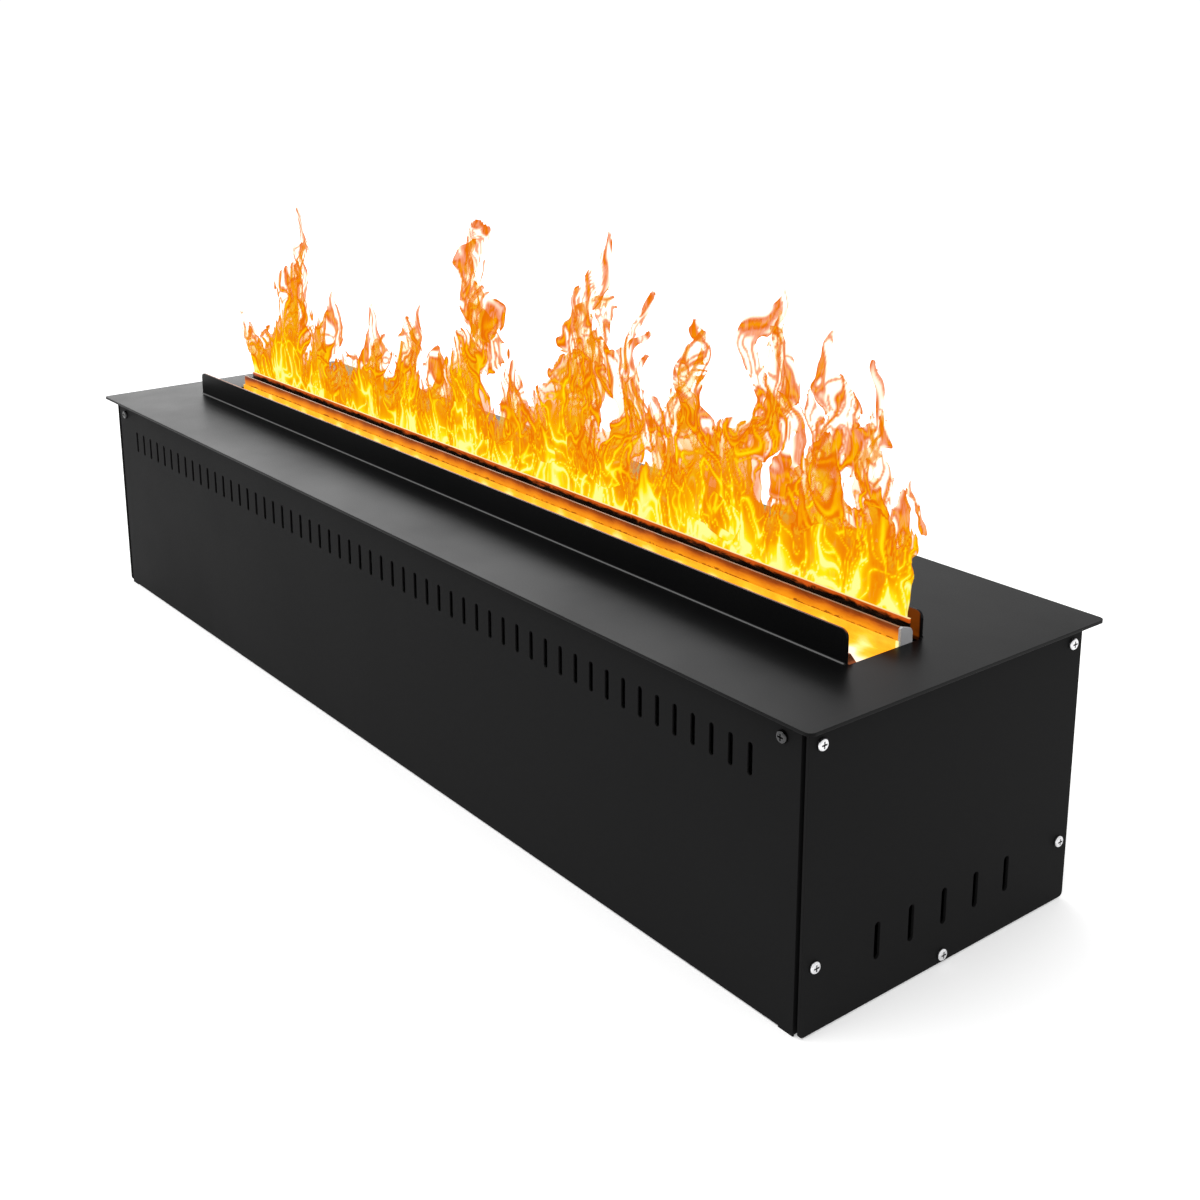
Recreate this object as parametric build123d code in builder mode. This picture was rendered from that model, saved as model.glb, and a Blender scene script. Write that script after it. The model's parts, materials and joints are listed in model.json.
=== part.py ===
"""Water-mist electric fireplace insert: a long black steel casing that drops into a hearth or cabinet.

Origin at the bottom centre of the casing, +X to its right end, -Y to its front, +Z up, millimetres.
Ultrasonic mist makers in a tank feed a hood, four fans push the mist up a long nozzle slot in the
rim plate, and a row of LEDs in front of the nozzle lights the plume like flames.
"""
import os
from math import atan2, cos, degrees, radians, sin

from build123d import *

os.makedirs("parts", exist_ok=True)

# ---------------------------------------------------------------- driving dimensions
body_length = 980
body_depth = 250
rim_height = 200            # floor to the top of the rim plate
rim_overhang = 10
rim_plate = 2
rim_corner = 5

wall_sheet = 1.2            # front, rear and bottom sheets
pan_lip = 16
pan_inset = 25
panel_lift = 1
panel_toe = 12
panel_return = 18

end_sheet = 2
end_corner = 3
end_bar = 3.5               # flat bar frame that the end panel is screwed to
end_bar_width = 20
end_bar_inset = 4
frame_foot = 30
foot_sheet = 2
foot_gap = 0.5

vent_width = 4
vent_height = 21
vent_top = 28.5             # rim top down to the slot tops
vent_pitch = 16.45
vent_margin = 45.8
side_vent_width = 5
side_vent_height = 25
side_vent_pitch = 30.5
side_vent_z = 40.5
side_vent_count = 5

screw_head = 8
screw_head_height = 2.4
screw_crown = 0.6           # share of the head height that is rounded
screw_shank = 4
recess_span = 4.4
recess_width = 1
recess_depth = 1.4
panel_screw_reach = 7
screw_clearance = 0.3       # radial, in the sheets
front_screw_inset = 20
top_screw_drop = 15
end_screw_inset = 10
end_screw_low_z = 45
end_screw_foot_z = 7

rail_leg = 22
rail_sheet = 2
rail_width = 20

opening_half = 448          # half length of the rim opening
opening_front = -48
opening_rear = 17.5
front_flange_height = 22
rear_flange_height = 17.5
flange_sheet = 2
flange_corner = 5
flange_inset = 1
bend_radius = 1.5

trough_sheet = 1
trough_floor_drop = 8       # rim top down to the underside of the trough floor
trough_rear_rise = 3
trough_hanger = 14
trough_gap = 0.5            # between the trough wall and the nozzle
led_pitch = 35
led_margin = 26
led_size = 5
led_thickness = 1.4
led_corner = 0.6

nozzle_centre = 3.2
nozzle_gap = 8
nozzle_wall = 1.5
nozzle_front_rise = 12
nozzle_rear_rise = 15
nozzle_drop = 24            # rim top down to the foot of the nozzle walls
cap_sheet = 2

tank_end_bay = 150          # end panel to the tank wall
tank_depth = 120
tank_height = 64
tank_floor_z = 10
tank_wall = 2
tank_corner = 8
gasket_thickness = 1.5
gasket_width = 5
hood_sheet = 1.5
hood_inset = 5
hood_skirt = 66             # height of the straight lower part of the hood
hood_flange = 2

module_length = 160
module_depth = 72
module_height = 22
module_count = 3
disc_radius = 9
disc_thickness = 1
disc_columns = 5
disc_rows = 2
disc_pitch = 28

fan_count = 4
fan_size = 60
fan_thickness = 15
fan_bore = 27               # radius
fan_hub = 12                # radius
blade_count = 7
blade_clearance = 1
fan_seat_gap = 3            # hood flange to the lowest fan edge
axle_radius = 1.5
axle_play = 0.05

float_radius = 10
float_height = 13
float_stem_radius = 3
float_play = 0.4
float_travel = 12
float_spread = 30
float_inset = 16

board_sheet = 1.6
board_lift = 8

button_travel = 1
button_radius = 4
button_play = 0.3
rocker_play = 0.3
rocker_end_play = 0.8
rocker_throw = 20           # degrees from on to off

pipe_radius = 5
pipe_bore = 4
lever_play = 0.05

# ---------------------------------------------------------------- places worked out from them
half_length = body_length / 2
half_depth = body_depth / 2
plate_under = rim_height - rim_plate
panel_half = half_length - end_sheet - end_bar
inner_face = half_depth - wall_sheet
frame_half = half_depth - end_bar_inset
top_screw_z = rim_height - top_screw_drop
end_screw_y = half_depth - end_screw_inset
front_screw_x = half_length - front_screw_inset
vent_count = int((body_length - 2 * vent_margin) / vent_pitch) + 1
vent_z = rim_height - vent_top - vent_height / 2

nozzle_foot = rim_height - nozzle_drop
nozzle_half = opening_half - cap_sheet
gap_front = nozzle_centre - nozzle_gap / 2
gap_rear = nozzle_centre + nozzle_gap / 2
trough_floor = rim_height - trough_floor_drop
trough_rear = gap_front - nozzle_wall - trough_gap

tank_half = half_length - tank_end_bay
tank_top = tank_floor_z + tank_height
hood_foot = tank_top + gasket_thickness
hood_half_length = tank_half - hood_inset
hood_half_depth = tank_depth / 2 - hood_inset
hood_shoulder = hood_foot + hood_skirt
fan_z = hood_foot + hood_flange + fan_seat_gap + fan_size / 2
fan_pitch = 2 * hood_half_length / fan_count
fan_face = hood_half_depth


def finish(piece, name):
    """Label a finished piece and write it as its own STEP file."""
    piece.part.label = name
    export_step(piece.part, f"parts/{name}.step")


# ---------------------------------------------------------------- bottom pan
with BuildPart() as base_pan:
    with BuildSketch():
        Rectangle(2 * (half_length - pan_inset), 2 * inner_face)
    extrude(amount=wall_sheet)
    for side in (1, -1):
        with BuildSketch(Plane.XY.offset(wall_sheet)):
            with Locations((0, side * (inner_face - wall_sheet / 2))):
                Rectangle(2 * (half_length - pan_inset), wall_sheet)
        extrude(amount=pan_lip - wall_sheet)
finish(base_pan, "base_pan")


# ---------------------------------------------------------------- front and rear panels
def make_long_panel(side):
    """Vented long panel; side is -1 at the front and 1 at the rear."""
    outer = Plane.XZ.offset(-side * half_depth)
    with BuildPart() as panel:
        with BuildSketch(Plane.XY.offset(panel_lift)):
            with Locations((0, side * (half_depth - wall_sheet / 2))):
                Rectangle(2 * panel_half, wall_sheet)
            for end in (1, -1):
                with Locations((end * (panel_half - wall_sheet / 2), side * (half_depth - panel_return / 2))):
                    Rectangle(wall_sheet, panel_return)
        extrude(amount=plate_under - panel_lift)
        for end in (1, -1):
            with BuildSketch():
                with Locations((end * (panel_half - panel_toe / 2), side * (half_depth - wall_sheet / 2))):
                    Rectangle(panel_toe, wall_sheet)
            extrude(amount=panel_lift)
        with BuildSketch(outer):
            with Locations((0, vent_z)):
                with GridLocations(vent_pitch, 0, vent_count, 1):
                    SlotOverall(vent_height, vent_width, rotation=90)
            with Locations((0, top_screw_z)):
                with GridLocations(2 * front_screw_x, 0, 2, 1):
                    Circle(screw_shank / 2 + screw_clearance)
        extrude(amount=side * wall_sheet, mode=Mode.SUBTRACT)
    return panel


front_panel = make_long_panel(-1)
finish(front_panel, "front_panel")
rear_panel = make_long_panel(1)
finish(rear_panel, "rear_panel")


# ---------------------------------------------------------------- end frames
end_screw_places = [
    (-end_screw_y, top_screw_z),
    (end_screw_y, top_screw_z),
    (-end_screw_y, end_screw_low_z),
    (end_screw_y, end_screw_low_z),
    (0, end_screw_foot_z),
]


def make_end_frame(end):
    """Flat bar frame with a foot that rests on the pan; end is -1 at the left and 1 at the right."""
    inner = Plane.YZ.offset(end * panel_half)
    opening = plate_under - wall_sheet - 2 * end_bar_width
    with BuildPart() as frame:
        with BuildSketch(inner):
            with Locations((0, (plate_under + wall_sheet) / 2)):
                Rectangle(2 * frame_half, plate_under - wall_sheet)
                Rectangle(2 * (frame_half - end_bar_width), opening, mode=Mode.SUBTRACT)
        extrude(amount=end * end_bar)
        with BuildSketch(Plane.XY.offset(wall_sheet)):
            with Locations((end * (panel_half - frame_foot / 2), 0)):
                Rectangle(frame_foot, 2 * (half_depth - panel_return - foot_gap))
            with Locations((end * (panel_half - wall_sheet - foot_gap - frame_foot / 2), 0)):
                Rectangle(frame_foot, 2 * (inner_face - wall_sheet - foot_gap))
        extrude(amount=foot_sheet)
        with BuildSketch(inner):
            with Locations(*end_screw_places):
                Circle(screw_shank / 2)
        extrude(amount=end * end_bar, mode=Mode.SUBTRACT)
    return frame


end_frame_left = make_end_frame(-1)
finish(end_frame_left, "end_frame_left")
end_frame_right = make_end_frame(1)
finish(end_frame_right, "end_frame_right")

# ---------------------------------------------------------------- controls and fittings on the left end
inlet_y = -72
inlet_z = 140
inlet_cutout = (27, 20)     # power socket body
inlet_bezel = (36, 28)
rocker_y = -72
rocker_z = 100
rocker_cutout = (19, 13)
rocker_bezel = (22, 16)
pad_y = 0
pad_z = 140
pad_cutout = (54, 14)
pad_bezel = (64, 24)
button_pitch = 16
fill_y = 40
fill_drop = 12              # tank brim down to the fill pipe
fill_z = tank_floor_z + tank_height - fill_drop
inlet_stub_radius = 6.5
drain_y = -20
drain_z = 34
spigot_radius = 6
spigot_shoulder = 1         # radial
lever_rise = 20             # drain pipe axis up to the lever spindle
spindle_radius = 3
fitting_clearance = 0.5

left_holes = [
    (drain_y, drain_z, spigot_radius + spigot_shoulder + fitting_clearance),
    (fill_y, fill_z, inlet_stub_radius + fitting_clearance),
    (drain_y, drain_z + lever_rise, spindle_radius + fitting_clearance),
]


def make_end_panel(end):
    """Flat end panel; the left one carries the sockets, the switch and the water fittings."""
    inner = Plane.YZ.offset(end * (half_length - end_sheet))
    with BuildPart() as panel:
        with BuildSketch(inner):
            with Locations((0, (plate_under + panel_lift) / 2)):
                RectangleRounded(body_depth, plate_under - panel_lift, end_corner)
            with Locations(*end_screw_places):
                Circle(screw_shank / 2 + screw_clearance, mode=Mode.SUBTRACT)
            if end > 0:
                with Locations((0, side_vent_z)):
                    with GridLocations(side_vent_pitch, 0, side_vent_count, 1):
                        SlotOverall(side_vent_height, side_vent_width, rotation=90, mode=Mode.SUBTRACT)
            else:
                for y, z, size in (
                    (inlet_y, inlet_z, inlet_cutout),
                    (rocker_y, rocker_z, rocker_cutout),
                    (pad_y, pad_z, pad_cutout),
                ):
                    with Locations((y, z)):
                        Rectangle(*size, mode=Mode.SUBTRACT)
                for y, z, radius in left_holes:
                    with Locations((y, z)):
                        Circle(radius, mode=Mode.SUBTRACT)
        extrude(amount=end * end_sheet)
    return panel


end_panel_left = make_end_panel(-1)
finish(end_panel_left, "end_panel_left")
end_panel_right = make_end_panel(1)
finish(end_panel_right, "end_panel_right")

# ---------------------------------------------------------------- rim plate with its two upstands
flange_half = opening_half - flange_inset
with BuildPart() as top_plate:
    with BuildSketch(Plane.XY.offset(plate_under)):
        RectangleRounded(body_length + 2 * rim_overhang, body_depth + 2 * rim_overhang, rim_corner)
        with Locations((0, (opening_front + opening_rear) / 2)):
            Rectangle(2 * opening_half, opening_rear - opening_front, mode=Mode.SUBTRACT)
    extrude(amount=rim_plate)
    for rise, y_inner, away in (
        (front_flange_height, opening_front, -1),
        (rear_flange_height, opening_rear, 1),
    ):
        with BuildSketch(Plane.XZ.offset(-y_inner)):
            with Locations((0, rim_height + rise / 2)):
                Rectangle(2 * flange_half, rise)
        fold = extrude(amount=-away * flange_sheet)
        tips = fold.edges().filter_by(Axis.Y).group_by(Axis.Z)[-1]
        fillet(tips, flange_corner)
        with BuildSketch(Plane.YZ.offset(-flange_half)):
            root = y_inner + away * flange_sheet
            with BuildLine():
                Line((root, rim_height), (root, rim_height + bend_radius))
                RadiusArc(
                    (root, rim_height + bend_radius),
                    (root + away * bend_radius, rim_height),
                    -away * bend_radius,
                )
                Line((root + away * bend_radius, rim_height), (root, rim_height))
            make_face()
        extrude(amount=2 * flange_half)
finish(top_plate, "top_plate")


# ---------------------------------------------------------------- angle rails welded under the plate
def make_rail(side):
    """Angle rail behind a long panel, tapped for that panel's two screws."""
    with BuildPart() as rail:
        with BuildSketch(Plane.YZ.offset(-panel_half + wall_sheet + 1)):
            with BuildLine():
                Polyline(
                    (side * inner_face, plate_under),
                    (side * (inner_face - rail_width), plate_under),
                    (side * (inner_face - rail_width), plate_under - rail_sheet),
                    (side * (inner_face - rail_sheet), plate_under - rail_sheet),
                    (side * (inner_face - rail_sheet), plate_under - rail_leg),
                    (side * inner_face, plate_under - rail_leg),
                    close=True,
                )
            make_face()
        extrude(amount=2 * (panel_half - wall_sheet - 1))
        with BuildSketch(Plane.XZ.offset(-side * inner_face)):
            with Locations((0, top_screw_z)):
                with GridLocations(2 * front_screw_x, 0, 2, 1):
                    Circle(screw_shank / 2)
        extrude(amount=side * rail_sheet, mode=Mode.SUBTRACT)
    return rail


plate_rail_front = make_rail(-1)
finish(plate_rail_front, "plate_rail_front")
plate_rail_rear = make_rail(1)
finish(plate_rail_rear, "plate_rail_rear")


# ---------------------------------------------------------------- cross-recessed screws
def make_screws(seats, reach):
    """Pan-head screws, one on each seat plane, whose normal points out of the sheet."""
    with BuildPart() as screws:
        for seat in seats:
            with BuildSketch(seat):
                Circle(screw_head / 2)
            extrude(amount=screw_head_height)
            rims = screws.edges(Select.LAST).filter_by(GeomType.CIRCLE)
            crown = rims.sort_by(Axis(seat.origin, seat.z_dir))[-1]
            fillet(crown, screw_crown * screw_head_height)
            with BuildSketch(seat):
                Circle(screw_shank / 2)
            extrude(amount=-reach)
            with BuildSketch(seat.offset(screw_head_height)):
                Rectangle(recess_span, recess_width)
                Rectangle(recess_width, recess_span)
            extrude(amount=-recess_depth, mode=Mode.SUBTRACT)
    return screws


panel_seats = [
    Plane(origin=(end * front_screw_x, side * half_depth, top_screw_z), z_dir=(0, side, 0))
    for end in (-1, 1)
    for side in (-1, 1)
]
panel_screws = make_screws(panel_seats, panel_screw_reach)
finish(panel_screws, "panel_screws")
for end, word in ((-1, "left"), (1, "right")):
    end_seats = [
        Plane(origin=(end * half_length, y, z), z_dir=(end, 0, 0)) for y, z in end_screw_places
    ]
    end_screws = make_screws(end_seats, end_sheet + end_bar)
    finish(end_screws, f"end_screws_{word}")

# ---------------------------------------------------------------- LED trough in front of the nozzle
trough_half = opening_half - trough_sheet
trough_front = opening_front - trough_sheet
with BuildPart() as led_trough:
    with BuildSketch(Plane.YZ.offset(-trough_half)):
        with BuildLine():
            Polyline(
                (trough_front - trough_hanger, plate_under),
                (trough_front - trough_hanger, plate_under - trough_sheet),
                (trough_front, plate_under - trough_sheet),
                (trough_front, trough_floor),
                (trough_rear, trough_floor),
                (trough_rear, rim_height + trough_rear_rise),
                (trough_rear - trough_sheet, rim_height + trough_rear_rise),
                (trough_rear - trough_sheet, trough_floor + trough_sheet),
                (opening_front, trough_floor + trough_sheet),
                (opening_front, plate_under),
                close=True,
            )
        make_face()
    extrude(amount=2 * trough_half)
    for end in (1, -1):
        with BuildSketch(Plane.YZ.offset(end * trough_half)):
            with Locations(((trough_front + trough_rear) / 2, (trough_floor + plate_under) / 2)):
                Rectangle(trough_rear - trough_front, plate_under - trough_floor)
        extrude(amount=end * trough_sheet)
finish(led_trough, "led_trough")

bar_floor = trough_floor + trough_sheet
bar_front = opening_front + 0.2
bar_depth = 11
bar_low = 3
bar_high = 12
bar_crown = 4
bar_slope = atan2(bar_high - bar_low, bar_depth - bar_crown)
bar_length = 2 * (trough_half - 2)
with BuildPart() as led_bar:
    with BuildSketch(Plane.YZ.offset(-bar_length / 2)):
        with BuildLine():
            Polyline(
                (bar_front, bar_floor),
                (bar_front + bar_depth, bar_floor),
                (bar_front + bar_depth, bar_floor + bar_low),
                (bar_front + bar_crown, bar_floor + bar_high),
                (bar_front, bar_floor + bar_high),
                close=True,
            )
        make_face()
    extrude(amount=bar_length)
finish(led_bar, "led_bar")

led_count = int((2 * trough_half - 2 * led_margin) / led_pitch) + 1
led_plane = Plane(
    origin=(0, bar_front + (bar_depth + bar_crown) / 2, bar_floor + (bar_low + bar_high) / 2),
    x_dir=(1, 0, 0),
    z_dir=(0, sin(bar_slope), cos(bar_slope)),
)
with BuildPart() as led_chips:
    with BuildSketch(led_plane):
        with GridLocations(led_pitch, 0, led_count, 1):
            RectangleRounded(led_size, led_size, led_corner)
    extrude(amount=led_thickness)
finish(led_chips, "led_chips")

# ---------------------------------------------------------------- mist nozzle
for name, y_low, rise in (
    ("nozzle_front_wall", gap_front - nozzle_wall, nozzle_front_rise),
    ("nozzle_rear_wall", gap_rear, nozzle_rear_rise),
):
    with BuildPart() as nozzle_sheet:
        with BuildSketch(Plane.XY.offset(nozzle_foot)):
            with Locations((0, y_low + nozzle_wall / 2)):
                Rectangle(2 * nozzle_half, nozzle_wall)
        extrude(amount=nozzle_drop + rise)
    finish(nozzle_sheet, name)

cap_front = gap_front - nozzle_wall
cap_rear = gap_rear + nozzle_wall
cap_fall = 5
with BuildPart() as nozzle_end_caps:
    for end in (1, -1):
        with BuildSketch(Plane.YZ.offset(end * nozzle_half)):
            with BuildLine():
                Polyline(
                    (cap_front, nozzle_foot),
                    (cap_rear, nozzle_foot),
                    (cap_rear, rim_height + nozzle_front_rise - cap_fall),
                    (cap_rear - nozzle_wall, rim_height + nozzle_front_rise - cap_fall / 2),
                    (cap_front + nozzle_wall, rim_height + nozzle_front_rise),
                    (cap_front, rim_height + nozzle_front_rise - 1),
                    close=True,
                )
            make_face()
        extrude(amount=end * cap_sheet)
finish(nozzle_end_caps, "nozzle_end_caps")

baffle_drop = 13
baffle_front = cap_rear + 0.3
baffle_leg = opening_rear + 2
with BuildPart() as gap_baffle:
    with BuildSketch(Plane.YZ.offset(-nozzle_half)):
        with BuildLine():
            Polyline(
                (baffle_front, rim_height - baffle_drop),
                (baffle_leg + trough_sheet, rim_height - baffle_drop),
                (baffle_leg + trough_sheet, plate_under),
                (baffle_leg, plate_under),
                (baffle_leg, rim_height - baffle_drop + trough_sheet),
                (baffle_front, rim_height - baffle_drop + trough_sheet),
                close=True,
            )
        make_face()
    extrude(amount=2 * nozzle_half)
finish(gap_baffle, "gap_baffle")

# ---------------------------------------------------------------- water tank, gasket and mist hood
rest_width = 20
rest_count = 3
rest_side_gap = 5
rest_spread = 0.7 * tank_half
with BuildPart() as tank_rests:
    with BuildSketch(Plane.XY.offset(wall_sheet)):
        with GridLocations(rest_spread, 0, rest_count, 1):
            Rectangle(rest_width, tank_depth - 2 * rest_side_gap)
    extrude(amount=tank_floor_z - wall_sheet)
finish(tank_rests, "tank_rests")

with BuildPart() as water_tank:
    with BuildSketch(Plane.XY.offset(tank_floor_z)):
        RectangleRounded(2 * tank_half, tank_depth, tank_corner)
    extrude(amount=tank_height)
    with BuildSketch(Plane.XY.offset(tank_floor_z + tank_wall)):
        RectangleRounded(2 * (tank_half - tank_wall), tank_depth - 2 * tank_wall, tank_corner - tank_wall)
    extrude(amount=tank_height, mode=Mode.SUBTRACT)
    with BuildSketch(Plane.YZ.offset(-tank_half)):
        with Locations((fill_y, fill_z)):
            Circle(pipe_radius)
        with Locations((drain_y, drain_z)):
            Circle(pipe_radius)
    extrude(amount=tank_wall, mode=Mode.SUBTRACT)
finish(water_tank, "water_tank")

with BuildPart() as hood_gasket:
    with BuildSketch(Plane.XY.offset(tank_top)):
        RectangleRounded(2 * tank_half, tank_depth, tank_corner)
        RectangleRounded(
            2 * (tank_half - gasket_width), tank_depth - 2 * gasket_width, tank_corner - gasket_width,
            mode=Mode.SUBTRACT,
        )
    extrude(amount=gasket_thickness)
finish(hood_gasket, "hood_gasket")

fan_xs = [(step - (fan_count - 1) / 2) * fan_pitch for step in range(fan_count)]
with BuildPart() as mist_hood:
    with BuildSketch(Plane.XY.offset(hood_foot)):
        RectangleRounded(2 * tank_half, tank_depth, tank_corner)
    extrude(amount=hood_flange)
    with BuildSketch(Plane.XY.offset(hood_foot)):
        Rectangle(2 * hood_half_length, 2 * hood_half_depth)
    extrude(amount=hood_skirt)
    with BuildSketch(Plane.XY.offset(hood_shoulder)) as shoulder:
        Rectangle(2 * hood_half_length, 2 * hood_half_depth)
    with BuildSketch(Plane.XY.offset(nozzle_foot)) as throat:
        with Locations((0, nozzle_centre)):
            Rectangle(2 * (nozzle_half + hood_sheet), nozzle_gap + 2 * hood_sheet)
    loft(ruled=True)
    with BuildSketch(Plane.XY.offset(hood_foot)):
        Rectangle(2 * (hood_half_length - hood_sheet), 2 * (hood_half_depth - hood_sheet))
    extrude(amount=hood_skirt, mode=Mode.SUBTRACT)
    with BuildSketch(Plane.XY.offset(hood_shoulder)):
        Rectangle(2 * (hood_half_length - hood_sheet), 2 * (hood_half_depth - hood_sheet))
    with BuildSketch(Plane.XY.offset(nozzle_foot)):
        with Locations((0, nozzle_centre)):
            Rectangle(2 * nozzle_half, nozzle_gap)
    loft(ruled=True, mode=Mode.SUBTRACT)
    with BuildSketch(Plane.XZ.offset(-fan_face)):
        with Locations(*[(x, fan_z) for x in fan_xs]):
            Circle(fan_bore - 1)
    extrude(amount=hood_sheet, mode=Mode.SUBTRACT)
finish(mist_hood, "mist_hood")

# ---------------------------------------------------------------- ultrasonic mist makers
module_floor = tank_floor_z + tank_wall
module_end_share = 0.3      # room beside the end mist makers, in pitches
module_pitch = 2 * tank_half / (module_count + module_end_share)
module_corner = 8
module_edge = 1.5
module_xs = [(step - (module_count - 1) / 2) * module_pitch for step in range(module_count)]
well_depth = 5
for number, x in enumerate(module_xs, 1):
    with BuildPart() as mist_maker:
        with BuildSketch(Plane.XY.offset(module_floor)):
            with Locations((x, 0)):
                RectangleRounded(module_length, module_depth, module_corner)
        extrude(amount=module_height)
        fillet(mist_maker.edges().group_by(Axis.Z)[-1], module_edge)
        with BuildSketch(Plane.XY.offset(module_floor + module_height)):
            with Locations((x, 0)):
                with GridLocations(disc_pitch, disc_pitch, disc_columns, disc_rows):
                    Circle(disc_radius)
        extrude(amount=-well_depth, mode=Mode.SUBTRACT)
    finish(mist_maker, f"mist_maker_{number}")

with BuildPart() as transducer_discs:
    with BuildSketch(Plane.XY.offset(module_floor + module_height - well_depth)):
        for x in module_xs:
            with Locations((x, 0)):
                with GridLocations(disc_pitch, disc_pitch, disc_columns, disc_rows):
                    Circle(disc_radius)
    extrude(amount=disc_thickness)
finish(transducer_discs, "transducer_discs")

# ---------------------------------------------------------------- level floats on their stems
stem_x = -tank_half + tank_wall + float_inset
float_floor_gap = 3
float_brim_gap = 6
low_float_z = tank_floor_z + tank_wall + float_floor_gap
high_float_z = tank_floor_z + tank_height - float_travel - float_height - float_brim_gap
collar_thickness = 2
collar_step = 2.5            # radial
float_round = 2
float_places = (("low", -float_spread, low_float_z), ("high", float_spread, high_float_z))
with BuildPart() as float_stems:
    for _, y, z in float_places:
        with BuildSketch(Plane.XY.offset(tank_floor_z + tank_wall)):
            with Locations((stem_x, y)):
                Circle(float_stem_radius)
        extrude(amount=z + float_height + float_travel + collar_thickness - tank_floor_z - tank_wall)
        for collar_z in (z - collar_thickness, z + float_height + float_travel):
            with BuildSketch(Plane.XY.offset(collar_z)):
                with Locations((stem_x, y)):
                    Circle(float_stem_radius + collar_step)
            extrude(amount=collar_thickness)
finish(float_stems, "float_stems")
for word, y, z in float_places:
    with BuildPart() as level_float:
        with BuildSketch(Plane.XY.offset(z)):
            with Locations((stem_x, y)):
                Circle(float_radius)
                Circle(float_stem_radius + float_play, mode=Mode.SUBTRACT)
        extrude(amount=float_height)
        rims = level_float.edges().filter_by(GeomType.CIRCLE)
        fillet(rims.sort_by(SortBy.RADIUS)[-2:], float_round)
    finish(level_float, f"float_{word}")

# ---------------------------------------------------------------- mist fans on the hood's rear wall
strut_width = 4
strut_depth = 3
frame_corner = 4
rotor_back = strut_depth + blade_clearance
rotor_depth = fan_thickness - rotor_back - blade_clearance
blade_tip = fan_bore - blade_clearance
blade_pitch = 32
blade_sheet = 1.4
blade_chord_share = 1.5     # blade width over rotor depth
blade_root = fan_hub - 2
blade_corner_trim = 1
fan_hole_inset = 5
fan_hole_radius = 2
strut_step = 120            # degrees between the motor struts
strut_bite = 1
for number, x in enumerate(fan_xs, 1):
    face = Plane(origin=(x, fan_face, fan_z), x_dir=(1, 0, 0), z_dir=(0, 1, 0))
    with BuildPart() as fan_frame:
        with BuildSketch(face):
            RectangleRounded(fan_size, fan_size, frame_corner)
            Circle(fan_bore, mode=Mode.SUBTRACT)
            with GridLocations(fan_size - 2 * fan_hole_inset, fan_size - 2 * fan_hole_inset, 2, 2):
                Circle(fan_hole_radius, mode=Mode.SUBTRACT)
        extrude(amount=fan_thickness)
        with BuildSketch(face.offset(fan_thickness)):
            Circle(fan_hub)
            for turn in range(0, 360, strut_step):
                with Locations(Location((0, 0, 0), turn)):
                    with Locations((0, (fan_bore + strut_bite) / 2)):
                        Rectangle(strut_width, fan_bore + strut_bite)
        extrude(amount=-strut_depth)
        with BuildSketch(face.offset(fan_thickness - strut_depth)):
            Circle(axle_radius)
        extrude(amount=-rotor_depth)
    finish(fan_frame, f"fan_frame_{number}")
    with BuildPart() as fan_rotor:
        with BuildSketch(face.offset(blade_clearance)):
            Circle(fan_hub)
        extrude(amount=rotor_depth)
        for step in range(blade_count):
            turn = radians(360 / blade_count * step)
            out = (cos(turn), 0, sin(turn))
            root = Plane(
                origin=(
                    x + cos(turn) * blade_root,
                    fan_face + blade_clearance + rotor_depth / 2,
                    fan_z + sin(turn) * blade_root,
                ),
                x_dir=(
                    -sin(turn) * cos(radians(blade_pitch)),
                    sin(radians(blade_pitch)),
                    cos(turn) * cos(radians(blade_pitch)),
                ),
                z_dir=out,
            )
            with BuildSketch(root):
                Rectangle(blade_chord_share * rotor_depth, blade_sheet)
            extrude(amount=blade_tip - blade_root - blade_corner_trim)
        with BuildSketch(face.offset(blade_clearance)):
            Circle(axle_radius + axle_play)
        extrude(amount=rotor_depth, mode=Mode.SUBTRACT)
    finish(fan_rotor, f"fan_rotor_{number}")

# ---------------------------------------------------------------- electronics in the front bay
bay_centre = -(inner_face + tank_depth / 2) / 2
board_depth = 50
supply_length = 160
supply_depth = 40
supply_height = 100
supply_corner = 1.5
grille_pitch = 8
grille_columns = 16
grille_rows = 4
grille_radius = 2.2
grille_depth = 1.2
supply_x = -0.5 * half_length
control_x = 0
control_length = 130
driver_x = 0.45 * half_length
driver_length = 150
with BuildPart() as power_supply:
    with BuildSketch(Plane.XY.offset(wall_sheet)):
        with Locations((supply_x, bay_centre)):
            RectangleRounded(supply_length, supply_depth, supply_corner)
    extrude(amount=supply_height)
    with BuildSketch(Plane.XY.offset(wall_sheet + supply_height)):
        with Locations((supply_x, bay_centre)):
            with GridLocations(grille_pitch, grille_pitch, grille_columns, grille_rows):
                Circle(grille_radius)
    extrude(amount=-grille_depth, mode=Mode.SUBTRACT)
finish(power_supply, "power_supply")

board_places = (("control_board", control_x, control_length), ("led_driver_board", driver_x, driver_length))
standoff_radius = 3
standoff_inset = 5
board_corner = 2
with BuildPart() as board_standoffs:
    with BuildSketch(Plane.XY.offset(wall_sheet)):
        for _, x, length in board_places:
            with Locations((x, bay_centre)):
                with GridLocations(length - 2 * standoff_inset, board_depth - 2 * standoff_inset, 2, 2):
                    Circle(standoff_radius)
    extrude(amount=board_lift)
finish(board_standoffs, "board_standoffs")
for name, x, length in board_places:
    with BuildPart() as board:
        with BuildSketch(Plane.XY.offset(wall_sheet + board_lift)):
            with Locations((x, bay_centre)):
                RectangleRounded(length, board_depth, board_corner)
        extrude(amount=board_sheet)
    finish(board, name)

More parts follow.
